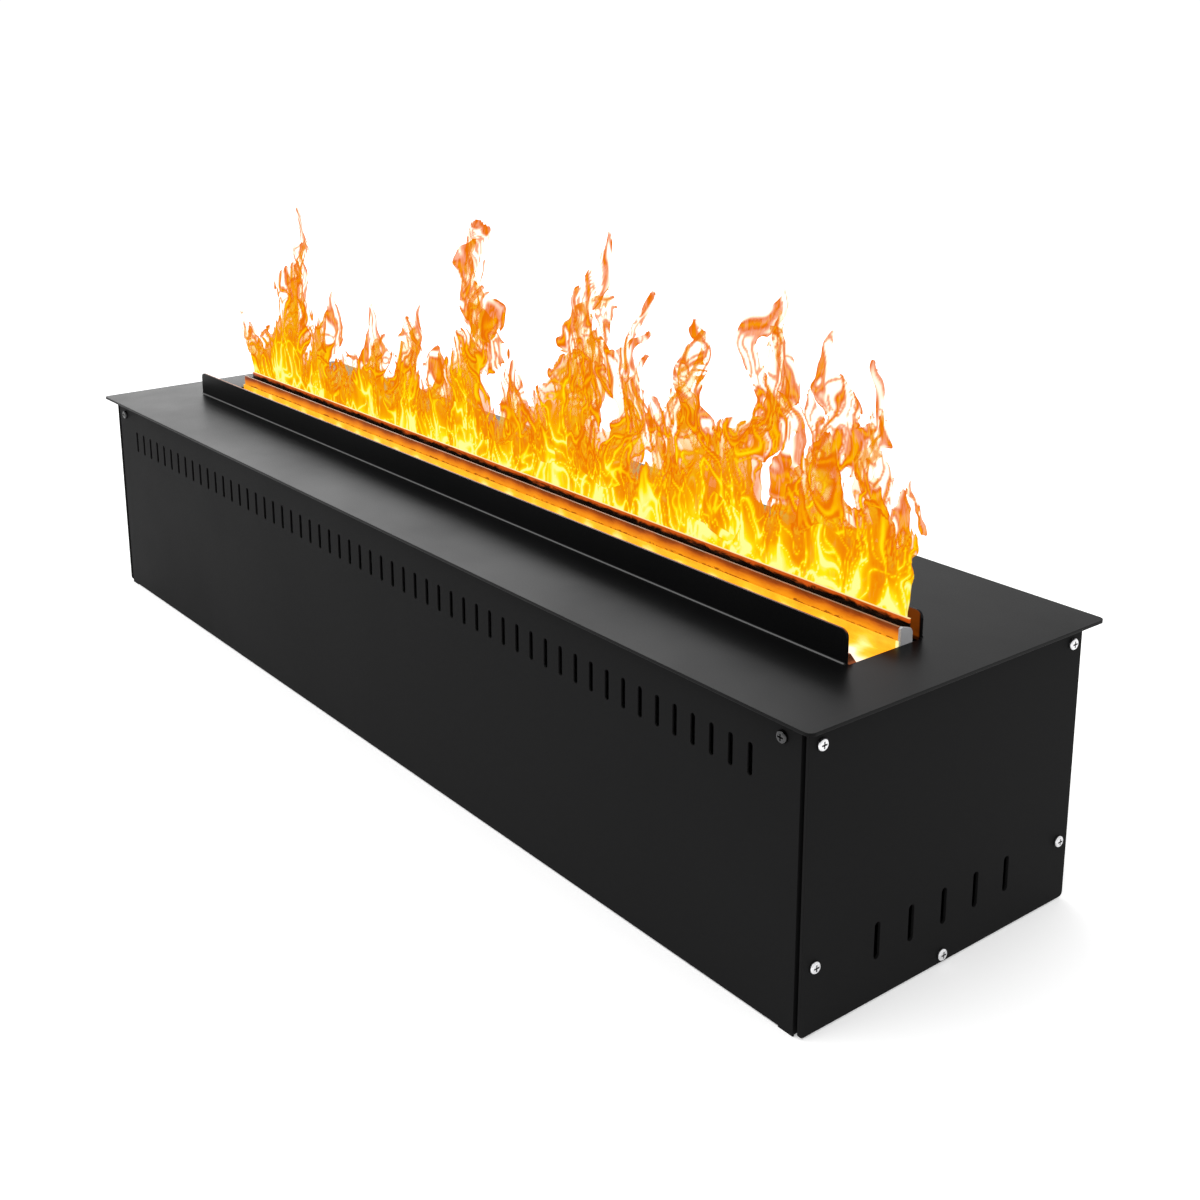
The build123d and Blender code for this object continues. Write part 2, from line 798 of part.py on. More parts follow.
board_top = wall_sheet + board_lift + board_sheet
relay_size = (16, 19)
relay_pitch = (20, 22)
relay_x = control_x - 30
choke_size = (18, 26)
choke_pitch = 22
choke_x = driver_x - 40
chip_size = 22
chip_x = control_x + 25
header_size = (10, 36)
header_x = control_x + 48
capacitor_radius = 5
capacitor_pitch = (15, 22)
capacitor_x = driver_x + 20
relay_height = 16
chip_height = 4
capacitor_height = 20
with BuildPart() as board_components:
    with BuildSketch(Plane.XY.offset(board_top)):
        with Locations((relay_x, bay_centre)):
            with GridLocations(*relay_pitch, 2, 2):
                Rectangle(*relay_size)
        with Locations((choke_x, bay_centre)):
            with GridLocations(choke_pitch, 0, 2, 1):
                Rectangle(*choke_size)
    extrude(amount=relay_height)
    with BuildSketch(Plane.XY.offset(board_top)):
        with Locations((chip_x, bay_centre)):
            Rectangle(chip_size, chip_size)
        with Locations((header_x, bay_centre)):
            Rectangle(*header_size)
    extrude(amount=chip_height)
    with BuildSketch(Plane.XY.offset(board_top)):
        with Locations((capacitor_x, bay_centre)):
            with GridLocations(*capacitor_pitch, 4, 2):
                Circle(capacitor_radius)
    extrude(amount=capacitor_height)
finish(board_components, "board_components")

# ---------------------------------------------------------------- power socket and rocker switch
def on_left(y, z, depth=0):
    """Plane on the left end's outer face, facing out, moved inwards by depth."""
    return Plane(origin=(-half_length + depth, y, z), x_dir=(0, 1, 0), z_dir=(-1, 0, 0))


bezel_height = 2
socket_depth = 24
socket_back = 4
socket_wall = 1.5
socket_corner = 2
bezel_corner = 3
pin_size = (2, 6)
pin_length = 14
pin_spread = 14
pin_low = -2
pin_high = 3
with BuildPart() as power_inlet:
    with BuildSketch(on_left(inlet_y, inlet_z)):
        RectangleRounded(*inlet_bezel, bezel_corner)
    extrude(amount=bezel_height)
    with BuildSketch(on_left(inlet_y, inlet_z)):
        Rectangle(*inlet_cutout)
    extrude(amount=-socket_depth)
    with BuildSketch(on_left(inlet_y, inlet_z, -bezel_height)):
        RectangleRounded(inlet_cutout[0] - 2 * socket_wall, inlet_cutout[1] - 2 * socket_wall, socket_corner)
    extrude(amount=-(socket_depth - socket_back), mode=Mode.SUBTRACT)
finish(power_inlet, "power_inlet")

pin_root = socket_depth - socket_back - bezel_height
pin_places = ((-pin_spread / 2, pin_low), (0, pin_high), (pin_spread / 2, pin_low))
with BuildPart() as power_pins:
    for y_step, z_step in pin_places:
        with BuildSketch(on_left(inlet_y + y_step, inlet_z + z_step, pin_root)):
            Rectangle(*pin_size)
        extrude(amount=pin_length)
finish(power_pins, "power_pins")

rocker_depth = 14
rocker_floor = 1.5
rocker_top = 2.2            # pivot axis out to the flat of the rocker
rocker_keel = 4
trunnion_radius = 1.2
trunnion_reach = 0.9
trunnion_play = 0.05
trunnion_end_play = 0.1
rocker_flare = 0.4
rocker_corner = 2
rocker_length = rocker_cutout[0] - 5
rocker_width = rocker_cutout[1] - 3
pivot_line = Plane(origin=(-half_length, rocker_y, rocker_z), z_dir=(0, 0, 1))
pocket_size = (rocker_length + 2 * rocker_end_play, rocker_width + 2 * rocker_play)
with BuildPart() as rocker_housing:
    with BuildSketch(on_left(rocker_y, rocker_z)):
        RectangleRounded(*rocker_bezel, rocker_corner)
    extrude(amount=bezel_height)
    with BuildSketch(on_left(rocker_y, rocker_z)):
        Rectangle(*rocker_cutout)
    extrude(amount=-rocker_depth)
    with BuildSketch(on_left(rocker_y, rocker_z, -bezel_height)):
        Rectangle(*pocket_size)
    extrude(amount=-(bezel_height + rocker_depth - rocker_floor), mode=Mode.SUBTRACT)
    with BuildSketch(pivot_line):
        Circle(trunnion_radius + trunnion_play)
    extrude(amount=rocker_width / 2 + rocker_play + trunnion_reach, both=True, mode=Mode.SUBTRACT)
finish(rocker_housing, "rocker_housing")

half_throw = radians(rocker_throw / 2)
tilted = Plane(
    origin=(-half_length, rocker_y, rocker_z),
    x_dir=(cos(half_throw), -sin(half_throw), 0),
    z_dir=(0, 0, 1),
)
with BuildPart() as rocker:
    with BuildSketch(tilted):
        with BuildLine():
            Polyline(
                (-rocker_top, rocker_length / 2 - rocker_flare),
                (-rocker_top, -rocker_length / 2 + rocker_flare),
                (0, -rocker_length / 2),
                (rocker_keel, 0),
                (0, rocker_length / 2),
                close=True,
            )
        make_face()
    extrude(amount=rocker_width / 2, both=True)
    with BuildSketch(pivot_line):
        Circle(trunnion_radius)
    extrude(amount=rocker_width / 2 + rocker_play + trunnion_reach - trunnion_end_play, both=True)
finish(rocker, "rocker")

# ---------------------------------------------------------------- button pad
button_cap = 2.2
button_count = 3
button_round = 0.8
button_root = 3              # shank inside the panel
button_well = 4.5
pad_body = 6
pad_corner = 4
with BuildPart() as button_panel:
    with BuildSketch(on_left(pad_y, pad_z)):
        RectangleRounded(*pad_bezel, pad_corner)
    extrude(amount=bezel_height)
    with BuildSketch(on_left(pad_y, pad_z)):
        Rectangle(*pad_cutout)
    extrude(amount=-pad_body)
    with BuildSketch(on_left(pad_y, pad_z, -bezel_height)):
        with GridLocations(button_pitch, 0, button_count, 1):
            Circle(button_radius + button_play)
    extrude(amount=-(bezel_height + button_well), mode=Mode.SUBTRACT)
finish(button_panel, "button_panel")
for number in range(button_count):
    button_y = pad_y + (number - (button_count - 1) / 2) * button_pitch
    with BuildPart() as button:
        with BuildSketch(on_left(button_y, pad_z, -bezel_height - button_cap)):
            Circle(button_radius)
        extrude(amount=-(button_cap + bezel_height + button_root))
        fillet(button.edges().sort_by(Axis.X)[0], button_round)
    finish(button, f"button_{number + 1}")

# ---------------------------------------------------------------- water inlet, fill valve and pipes
stub_reach = 9
valve_near = 12             # end panel's outer face to the valve body
valve_length = 40
valve_end = -half_length + valve_near + valve_length
valve_corner = 3
inlet_flange = (9, 2)        # radius and thickness
with BuildPart() as water_inlet:
    with BuildSketch(on_left(fill_y, fill_z)):
        Circle(inlet_flange[0])
    extrude(amount=inlet_flange[1])
    with BuildSketch(on_left(fill_y, fill_z)):
        Circle(inlet_stub_radius)
    extrude(amount=stub_reach)
    with BuildSketch(on_left(fill_y, fill_z)):
        Circle(inlet_stub_radius)
    extrude(amount=-valve_near)
    with BuildSketch(on_left(fill_y, fill_z, -stub_reach)):
        Circle(pipe_bore)
    extrude(amount=-(stub_reach + valve_near), mode=Mode.SUBTRACT)
finish(water_inlet, "water_inlet")

fill_valve_size = (24, 20)
coil_size = (26, 22)
coil_height = 26
with BuildPart() as fill_valve:
    with BuildSketch(on_left(fill_y, fill_z, valve_near)):
        RectangleRounded(*fill_valve_size, valve_corner)
    extrude(amount=-valve_length)
    with BuildSketch(Plane.XY.offset(fill_z + fill_valve_size[1] / 2)):
        with Locations((-half_length + valve_near + valve_length / 2, fill_y)):
            RectangleRounded(*coil_size, valve_corner)
    extrude(amount=coil_height)
    with BuildSketch(on_left(fill_y, fill_z, valve_near)):
        Circle(pipe_bore)
    extrude(amount=-valve_length, mode=Mode.SUBTRACT)
finish(fill_valve, "fill_valve")

for name, y, z in (("fill_pipe", fill_y, fill_z), ("drain_pipe", drain_y, drain_z)):
    with BuildPart() as pipe:
        with BuildSketch(Plane.YZ.offset(valve_end)):
            with Locations((y, z)):
                Circle(pipe_radius)
                Circle(pipe_bore, mode=Mode.SUBTRACT)
        extrude(amount=-tank_half + tank_wall - valve_end)
    finish(pipe, name)

spindle_socket = 10
spindle_end_gap = 0.5
drain_valve_size = (20, 18)
bonnet_size = (12, 17)
bonnet_centre = lever_rise - 2.5
bonnet_length = 0.6 * valve_length
with BuildPart() as drain_valve:
    with BuildSketch(on_left(drain_y, drain_z, valve_near)):
        RectangleRounded(*drain_valve_size, valve_corner)
    extrude(amount=-valve_length)
    with BuildSketch(on_left(drain_y, drain_z)):
        Circle(spigot_radius + spigot_shoulder)
    extrude(amount=-(valve_near + valve_corner))
    with BuildSketch(on_left(drain_y, drain_z)):
        Circle(spigot_radius)
    extrude(amount=stub_reach)
    with BuildSketch(on_left(drain_y, drain_z + bonnet_centre, valve_near)):
        Rectangle(*bonnet_size)
    extrude(amount=-bonnet_length)
    with BuildSketch(on_left(drain_y, drain_z, -stub_reach)):
        Circle(pipe_bore)
    extrude(amount=-(stub_reach + valve_near + valve_length), mode=Mode.SUBTRACT)
    with BuildSketch(on_left(drain_y, drain_z + lever_rise, valve_near)):
        Circle(spindle_radius + lever_play)
    extrude(amount=-(spindle_socket + spindle_end_gap), mode=Mode.SUBTRACT)
finish(drain_valve, "drain_valve")

lever_gap = 2
lever_thickness = 4
lever_length = 26
lever_width = 9
lever_boss_radius = 6
with BuildPart() as drain_lever:
    with BuildSketch(on_left(drain_y, drain_z + lever_rise, -lever_gap)):
        Circle(lever_boss_radius)
        with Locations((lever_length / 2, 0)):
            SlotOverall(lever_length + lever_width, lever_width)
    extrude(amount=lever_thickness)
    with BuildSketch(on_left(drain_y, drain_z + lever_rise, -lever_gap)):
        Circle(spindle_radius)
    extrude(amount=-(lever_gap + valve_near + spindle_socket))
finish(drain_lever, "drain_lever")

# ---------------------------------------------------------------- lit mist plume
plume_foot = rim_height + nozzle_rear_rise + 1
plume_thickness = 3
plume_half = nozzle_half - 2
tongues = (
    # place along the nozzle as a share of its half length, tip height over the rim
    (-0.90, 85), (-0.68, 195), (-0.43, 110), (-0.24, 105), (0.00, 213), (0.13, 140),
    (0.34, 222), (0.46, 185), (0.58, 172), (0.75, 207), (0.86, 182), (0.95, 170),
)
valley_share = 0.45
plume_ends = (34, 60)        # left and right ends over the rim
with BuildPart() as mist_flames:
    with BuildSketch(Plane.XZ.offset(-nozzle_centre - plume_thickness / 2)):
        with BuildLine():
            skyline = [(-plume_half, rim_height + plume_ends[0])]
            for (here, tip), (after, next_tip) in zip(tongues, tongues[1:]):
                skyline.append((here * plume_half, rim_height + tip))
                valley = valley_share * min(tip, next_tip)
                skyline.append(((here + after) / 2 * plume_half, rim_height + valley))
            skyline.append((tongues[-1][0] * plume_half, rim_height + tongues[-1][1]))
            skyline.append((plume_half, rim_height + plume_ends[1]))
            Polyline((-plume_half, plume_foot), *skyline, (plume_half, plume_foot), close=True)
        make_face()
    extrude(amount=plume_thickness)
finish(mist_flames, "mist_flames")
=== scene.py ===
"""Looks for the water-mist fireplace insert: coated casing, trough and nozzle with painted light,
flame-coloured mist.
"""

import json

import bpy
import numpy as np
from mathutils import Matrix, Vector


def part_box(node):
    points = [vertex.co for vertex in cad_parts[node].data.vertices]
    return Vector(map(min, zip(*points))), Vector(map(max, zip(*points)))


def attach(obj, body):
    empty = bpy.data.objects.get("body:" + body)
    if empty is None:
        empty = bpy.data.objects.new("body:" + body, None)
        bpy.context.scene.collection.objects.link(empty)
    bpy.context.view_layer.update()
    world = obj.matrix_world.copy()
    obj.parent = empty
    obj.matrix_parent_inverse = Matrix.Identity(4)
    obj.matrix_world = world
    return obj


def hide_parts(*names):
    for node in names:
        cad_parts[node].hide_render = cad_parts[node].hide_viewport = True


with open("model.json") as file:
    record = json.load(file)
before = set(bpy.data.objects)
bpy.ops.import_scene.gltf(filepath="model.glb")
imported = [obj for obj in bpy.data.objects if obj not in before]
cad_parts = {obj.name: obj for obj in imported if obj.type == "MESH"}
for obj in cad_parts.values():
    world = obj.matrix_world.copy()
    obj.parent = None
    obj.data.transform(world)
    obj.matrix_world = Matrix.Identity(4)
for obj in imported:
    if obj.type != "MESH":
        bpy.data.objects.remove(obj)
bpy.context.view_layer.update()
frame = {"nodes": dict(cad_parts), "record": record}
nodes = frame["nodes"]

MM = 0.001


# ---------------------------------------------------------------- places read from the frame
def low(name):
    return Vector(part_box(name)[0])


def high(name):
    return Vector(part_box(name)[1])


RIM_SHEET = 2 * MM                                  # thickness of the rim plate
RIM_TOP = low("top_plate").z + RIM_SHEET
NOZZLE_HALF = high("nozzle_front_wall").x
GAP_FRONT = high("nozzle_front_wall").y
GAP_REAR = low("nozzle_rear_wall").y
NOZZLE_TOP = high("nozzle_rear_wall").z
FRONT_LIP = high("nozzle_front_wall").z
TROUGH_FRONT = high("led_bar").y
TROUGH_FLOOR = low("led_bar").z
LED_SLACK = 0.2 * MM                                # between the LED strip and the trough's wall
TROUGH_WALL = low("led_bar").y - LED_SLACK
LED_COUNT = 25
LED_WIDTH = 5 * MM
LED_PITCH = (high("led_chips").x - low("led_chips").x - LED_WIDTH) / (LED_COUNT - 1)
UPSTAND_FRONT = -50 * MM                            # the front upstand's two faces, front and inner
UPSTAND_INNER = -48 * MM
UPSTAND_REAR = 17.5 * MM                            # the rear upstand's inner face


# ---------------------------------------------------------------- camera
EYE = Vector((1.0394, -0.7103, 0.5782))
FORWARD = Vector((-0.7703, 0.5886, -0.2453)).normalized()
RIGHT = Vector((0.6086, 0.7934, -0.0072)).normalized()
LENS = 47.08
SHIFT = (0.0269, -0.1572)


def make_camera():
    data = bpy.data.cameras.new("camera")
    data.lens = LENS
    data.sensor_width = 36
    data.shift_x, data.shift_y = SHIFT
    data.clip_start = 0.02
    camera = bpy.data.objects.new("camera", data)
    up = RIGHT.cross(FORWARD)
    turn = Matrix((RIGHT, up, -FORWARD)).transposed()
    camera.matrix_world = Matrix.Translation(EYE) @ turn.to_4x4()
    bpy.context.collection.objects.link(camera)
    bpy.context.scene.camera = camera


# ---------------------------------------------------------------- node helpers
def new_material(name):
    """An empty node material with a Principled shader, and the two of them."""
    material = bpy.data.materials.new(name)
    material.use_nodes = True
    tree = material.node_tree
    shader = tree.nodes["Principled BSDF"]
    return material, tree, shader


def node(tree, kind, **inputs):
    """A shader node; keyword names are socket names with _ for spaces, and in_0 is socket number 0."""
    made = tree.nodes.new(kind)
    for key, value in inputs.items():
        socket = made.inputs[int(key[3:])] if key.startswith("in_") else made.inputs[key.replace("_", " ")]
        if isinstance(value, bpy.types.NodeSocket):
            tree.links.new(value, socket)
        else:
            socket.default_value = value
    return made


def maths(tree, operation, first, second=0.0, third=0.0):
    made = node(tree, "ShaderNodeMath", in_0=first, in_1=second, in_2=third)
    made.operation = operation
    return made.outputs[0]


def product(tree, *values):
    """All the values multiplied together."""
    result = values[0]
    for value in values[1:]:
        result = maths(tree, "MULTIPLY", result, value)
    return result


def share(tree, first, second, part):
    """Two values weighed together, the first by its part of the whole."""
    rest = maths(tree, "MULTIPLY", second, 1 - part)
    return maths(tree, "ADD", maths(tree, "MULTIPLY", first, part), rest)


def place(tree):
    """Object coordinates, in metres in the part's own frame."""
    return node(tree, "ShaderNodeTexCoord").outputs["Object"]


def stretched(tree, scale):
    return node(tree, "ShaderNodeMapping", Vector=place(tree), Scale=scale).outputs[0]


def noise(tree, vector, scale, detail=3.0, rough=0.5, distortion=0.0):
    made = node(
        tree, "ShaderNodeTexNoise", Vector=vector, Scale=scale, Detail=detail, Roughness=rough,
        Distortion=distortion,
    )
    return made.outputs["Fac"]


def spread(tree, value, start, end, to_start, to_end):
    """Maps a value from one range to another, smoothly and clamped."""
    made = tree.nodes.new("ShaderNodeMapRange")
    made.interpolation_type = "SMOOTHSTEP"
    tree.links.new(value, made.inputs["Value"])
    for key, number in zip(("From Min", "From Max", "To Min", "To Max"), (start, end, to_start, to_end)):
        made.inputs[key].default_value = number
    return made.outputs["Result"]


def ramp(tree, value, stops):
    made = node(tree, "ShaderNodeValToRGB", Fac=value)
    band = made.color_ramp
    while len(band.elements) > 1:
        band.elements.remove(band.elements[-1])
    band.elements[0].position = stops[0][0]
    band.elements[0].color = (*stops[0][1], 1)
    for position, colour in stops[1:]:
        band.elements.new(position).color = (*colour, 1)
    return made.outputs["Color"]


def mix(tree, factor, first, second):
    made = tree.nodes.new("ShaderNodeMix")
    made.data_type = "RGBA"
    for socket, value in ((made.inputs[0], factor), (made.inputs[6], first), (made.inputs[7], second)):
        if isinstance(value, bpy.types.NodeSocket):
            tree.links.new(value, socket)
        else:
            socket.default_value = value if isinstance(value, float) else (*value, 1)
    return made.outputs[2]


def bump(tree, shader, height, distance, strength, edge=0.2 * MM):
    """Surface relief over edges that are rounded to the given radius."""
    rounded = node(tree, "ShaderNodeBevel", Radius=edge)
    rounded.samples = 4
    made = node(
        tree, "ShaderNodeBump", Height=height, Distance=distance, Strength=strength,
        Normal=rounded.outputs[0],
    )
    tree.links.new(made.outputs[0], shader.inputs["Normal"])


# ---------------------------------------------------------------- coated and bare metals
def powder_coat(name, dark, light, rough, ior, grain=0.05 * MM, edge=0.4 * MM):
    """Fine textured powder coat: faint orange peel, slightly uneven tone and sheen, rounded edges."""
    material, tree, shader = new_material(name)
    peel = noise(tree, place(tree), 900, 2)
    cloud = noise(tree, place(tree), 6, 4, 0.6)
    speck = noise(tree, place(tree), 2600, 1)
    tone = share(tree, cloud, speck, 0.6)
    tree.links.new(ramp(tree, tone, ((0.25, dark), (0.75, light))), shader.inputs["Base Color"])
    wear = share(tree, cloud, peel, 0.7)
    tree.links.new(spread(tree, wear, 0.3, 0.7, rough - 0.05, rough + 0.06), shader.inputs["Roughness"])
    shader.inputs["IOR"].default_value = ior
    bump(tree, shader, peel, grain, 0.35, edge)
    return material


def bare_metal(name, dark, light, rough, brush):
    """Sheet or turned metal with a fine brushed grain and cloudy tone."""
    material, tree, shader = new_material(name)
    grain = noise(tree, stretched(tree, brush), 1, 4, 0.6)
    cloud = noise(tree, place(tree), 25, 3)
    tone = share(tree, grain, cloud, 0.5)
    tree.links.new(ramp(tree, tone, ((0.3, dark), (0.7, light))), shader.inputs["Base Color"])
    tree.links.new(spread(tree, tone, 0.3, 0.7, rough - 0.07, rough + 0.08), shader.inputs["Roughness"])
    shader.inputs["Metallic"].default_value = 1.0
    bump(tree, shader, grain, 0.02 * MM, 0.4)
    return material


# near-black of the painted shade in screw recesses
RECESS_SHADE = (0.002, 0.002, 0.002)


def screw_metal(name, dark, light, rough):
    """Turned metal with painted shade down in the recess and round the rim of the head, where ambient
    occlusion is low.
    """
    material = bare_metal(name, dark, light, rough, (900, 900, 900))
    tree = material.node_tree
    shader = tree.nodes["Principled BSDF"]
    clean = shader.inputs["Base Color"].links[0].from_socket
    # painted shade: the colour goes near-black where ambient occlusion is low, in the recess and round the
    # rim
    open_air = node(tree, "ShaderNodeAmbientOcclusion", Distance=1.6 * MM).outputs["AO"]
    recess_shade = spread(tree, open_air, 0.45, 0.8, 1.0, 0.0)
    tree.links.new(mix(tree, recess_shade, clean, RECESS_SHADE), shader.inputs["Base Color"])
    return material


def moulded(name, dark, light, rough, grain=700, depth=0.04 * MM, gloss=0.45, glow=None):
    """Moulded plastic, rubber or ceramic with a faint spark-eroded texture."""
    material, tree, shader = new_material(name)
    pits = noise(tree, place(tree), grain, 3, 0.6)
    cloud = noise(tree, place(tree), 30, 3)
    tree.links.new(ramp(tree, cloud, ((0.3, dark), (0.7, light))), shader.inputs["Base Color"])
    tree.links.new(spread(tree, pits, 0.3, 0.7, rough - 0.06, rough + 0.06), shader.inputs["Roughness"])
    shader.inputs["Specular IOR Level"].default_value = gloss
    bump(tree, shader, pits, depth, 0.5)
    if glow:
        shader.inputs["Emission Color"].default_value = (*glow, 1)
        shader.inputs["Emission Strength"].default_value = 1.0
    return material


MASK_DARK = (0.006, 0.09, 0.03, 1)
MASK_GREEN = (0.008, 0.12, 0.04, 1)
MASK_CLOUD = (0.01, 0.16, 0.06)
TRACK_GREEN = (0.03, 0.22, 0.08, 1)


def circuit(name):
    """Green solder mask over a grid of paler copper tracks."""
    material, tree, shader = new_material(name)
    tracks = node(tree, "ShaderNodeTexBrick", Vector=place(tree), Scale=260.0, Mortar_Size=0.08)
    tracks.inputs["Color1"].default_value = MASK_DARK
    tracks.inputs["Color2"].default_value = MASK_GREEN
    tracks.inputs["Mortar"].default_value = TRACK_GREEN
    cloud = noise(tree, place(tree), 60, 2)
    mask = mix(tree, maths(tree, "MULTIPLY", cloud, 0.5), tracks.outputs["Color"], MASK_CLOUD)
    tree.links.new(mask, shader.inputs["Base Color"])
    tree.links.new(spread(tree, cloud, 0.3, 0.7, 0.25, 0.4), shader.inputs["Roughness"])
    bump(tree, shader, tracks.outputs["Fac"], 0.05 * MM, 0.3)
    return material


# ---------------------------------------------------------------- surfaces with painted light
UNLIT = (0.0, 0.0, 0.0)
# dimmest red of the painted light on the nozzle's front
DIM_GLOW_RED = (0.10, 0.016, 0.001)
# red of the darker patches in the nozzle's painted light
DARK_PATCH_RED = (0.16, 0.02, 0.001)
# red of the painted flame reflection in the nozzle's slot
FLAME_REFLECTION_RED = (0.62, 0.09, 0.004)
AMBER_DARK = (0.30, 0.045, 0.004)
AMBER_DEEP = (0.70, 0.16, 0.004)
AMBER = (1.0, 0.33, 0.006)
AMBER_LIGHT = (1.0, 0.55, 0.02)
AMBER_HOT = (1.0, 0.93, 0.35)
WHITE_HOT = (1.0, 1.0, 0.9)
EDGE_GLINT = (1.0, 0.72, 0.30)
# grey of the painted highlight along the front upstand's bend
BEND_HIGHLIGHT_GREY = (0.16, 0.16, 0.16)
SHEET_GLOW = 0.95                                   # strength of the painted glow on the trough and nozzle


def emit(tree, shader, colour, strength):
    tree.links.new(colour, shader.inputs["Emission Color"])
    shader.inputs["Emission Strength"].default_value = strength


def axes(tree):
    """The three object coordinates, each on its own."""
    return node(tree, "ShaderNodeSeparateXYZ", Vector=place(tree)).outputs


def led_nearness(tree, x):
    """How near each point is to an LED along the strip, 0 to 1."""
    nearest = maths(tree, "PINGPONG", x, LED_PITCH / 2)
    return spread(tree, nearest, 0.0, 0.36 * LED_PITCH, 1.0, 0.0)


def reflector(name):
    """Bright sheet with painted amber LED light inside the trough: a painted flare opposite each LED,
    painted white glare by the right end.
    """
    material, tree, shader = new_material(name)
    x, y, z = axes(tree)
    # painted LED light: a flare opposite each LED, brightest low in the trough
    spot = led_nearness(tree, x)
    streak = noise(tree, stretched(tree, (90, 200, 260)), 1, 4, 0.65)
    uneven = noise(tree, stretched(tree, (9, 20, 60)), 1, 2)
    rise = spread(tree, z, TROUGH_FLOOR - 1 * MM, RIM_TOP + 3 * MM, 1.0, 0.25)
    flare = product(tree, spot, rise, spread(tree, uneven, 0.35, 0.6, 0.25, 0.8))
    lit = maths(tree, "ADD", maths(tree, "MULTIPLY_ADD", streak, 0.35, 0.16), flare)
    # painted light, brighter by the right end and towards the front
    end = spread(tree, x, NOZZLE_HALF - 60 * MM, NOZZLE_HALF - 15 * MM, 0.0, 1.0)
    front = spread(tree, y, TROUGH_FRONT + 3 * MM, TROUGH_FRONT + 26 * MM, 1.1, 0.0)
    lit = maths(tree, "ADD", lit, product(tree, end, front))
    # a painted bright line along the sheet's cut end
    cut_end = spread(tree, x, NOZZLE_HALF - 0.9 * MM, NOZZLE_HALF - 0.4 * MM, 0.0, 0.4)
    lit = maths(tree, "ADD", lit, cut_end)
    stops = (0.0, AMBER_DEEP), (0.22, AMBER), (0.5, AMBER_LIGHT), (0.8, AMBER_HOT), (1.0, WHITE_HOT)
    inside = product(
        tree, spread(tree, z, TROUGH_FLOOR - 0.8 * MM, TROUGH_FLOOR - 0.4 * MM, 0.0, 1.0),
        spread(tree, y, TROUGH_WALL - 0.8 * MM, TROUGH_WALL - 0.4 * MM, 0.0, 1.0),
    )
    emit(tree, shader, mix(tree, inside, UNLIT, ramp(tree, lit, stops)), SHEET_GLOW)
    sheet = ramp(tree, streak, ((0.3, (0.3, 0.14, 0.02)), (0.7, (0.45, 0.22, 0.04))))
    tree.links.new(sheet, shader.inputs["Base Color"])
    shader.inputs["Metallic"].default_value = 0.8
    shader.inputs["Roughness"].default_value = 0.4
    bump(tree, shader, streak, 0.1 * MM, 0.3)
    return material


def nozzle_metal(name):
    """Sheet with painted amber light in front and painted shade in the slot, with a painted flame
    reflection in patches under its top edge and a painted glint along that edge.
    """
    material, tree, shader = new_material(name)
    x, y, z = axes(tree)
    patch = noise(tree, stretched(tree, (60, 120, 260)), 1, 5, 0.7, 0.8)
    fleck = noise(tree, stretched(tree, (150, 200, 420)), 1, 3, 0.6)
    # painted amber light on the nozzle's front, brighter low down by the LEDs
    climb = spread(tree, z, RIM_TOP + 3 * MM, FRONT_LIP + 1 * MM, 0.62, 0.0)
    glow = maths(tree, "MULTIPLY_ADD", patch, 0.3, climb)
    glow = maths(tree, "ADD", glow, maths(tree, "MULTIPLY", led_nearness(tree, x), 0.08))
    front = ramp(tree, glow, ((0.12, DIM_GLOW_RED), (0.32, AMBER_DARK), (0.52, AMBER_DEEP), (0.8, AMBER)))
    # darker red patches in the painted light, low on the front face
    fleck_line = maths(tree, "MULTIPLY_ADD", fleck, 6 * MM, z)
    dark_patches = product(
        tree, spread(tree, fleck_line, RIM_TOP + 6.2 * MM, RIM_TOP + 6.8 * MM, 0.8, 0.0),
        spread(tree, patch, 0.4, 0.5, 0.0, 1.0),
    )
    front = mix(tree, dark_patches, front, DARK_PATCH_RED)
    # painted flame reflection in patches under the top edge, inside the slot
    flame_reflection_line = maths(tree, "MULTIPLY_ADD", patch, 9 * MM, z)
    flame_reflection = spread(tree, flame_reflection_line, NOZZLE_TOP + 0.4 * MM, NOZZLE_TOP + 3.4 * MM, 0.0, 1.0)
    slot = mix(tree, flame_reflection, UNLIT, FLAME_REFLECTION_RED)
    in_slot = spread(tree, y, GAP_FRONT - 0.6 * MM, GAP_FRONT - 0.3 * MM, 0.0, 1.0)
    # painted glint along the top edges of both walls
    rear_edge = spread(tree, z, NOZZLE_TOP - 0.5 * MM, NOZZLE_TOP - 0.2 * MM, 0.0, 1.0)
    front_edge = product(
        tree, spread(tree, z, FRONT_LIP - 0.3 * MM, FRONT_LIP - 0.1 * MM, 0.0, 0.12),
        spread(tree, y, GAP_FRONT + 1 * MM, GAP_FRONT + 2 * MM, 1.0, 0.0),
    )
    edge = maths(tree, "MAXIMUM", rear_edge, front_edge)
    emit(tree, shader, mix(tree, edge, mix(tree, in_slot, front, slot), EDGE_GLINT), SHEET_GLOW)
    # painted shade: a near-black base so the deep slot reads dark
    shaded_base = ramp(tree, patch, ((0.3, (0.02, 0.01, 0.006)), (0.7, (0.08, 0.04, 0.02))))
    tree.links.new(shaded_base, shader.inputs["Base Color"])
    shader.inputs["Metallic"].default_value = 0.9
    tree.links.new(spread(tree, patch, 0.3, 0.7, 0.35, 0.55), shader.inputs["Roughness"])
    bump(tree, shader, patch, 0.3 * MM, 0.4)
    return material


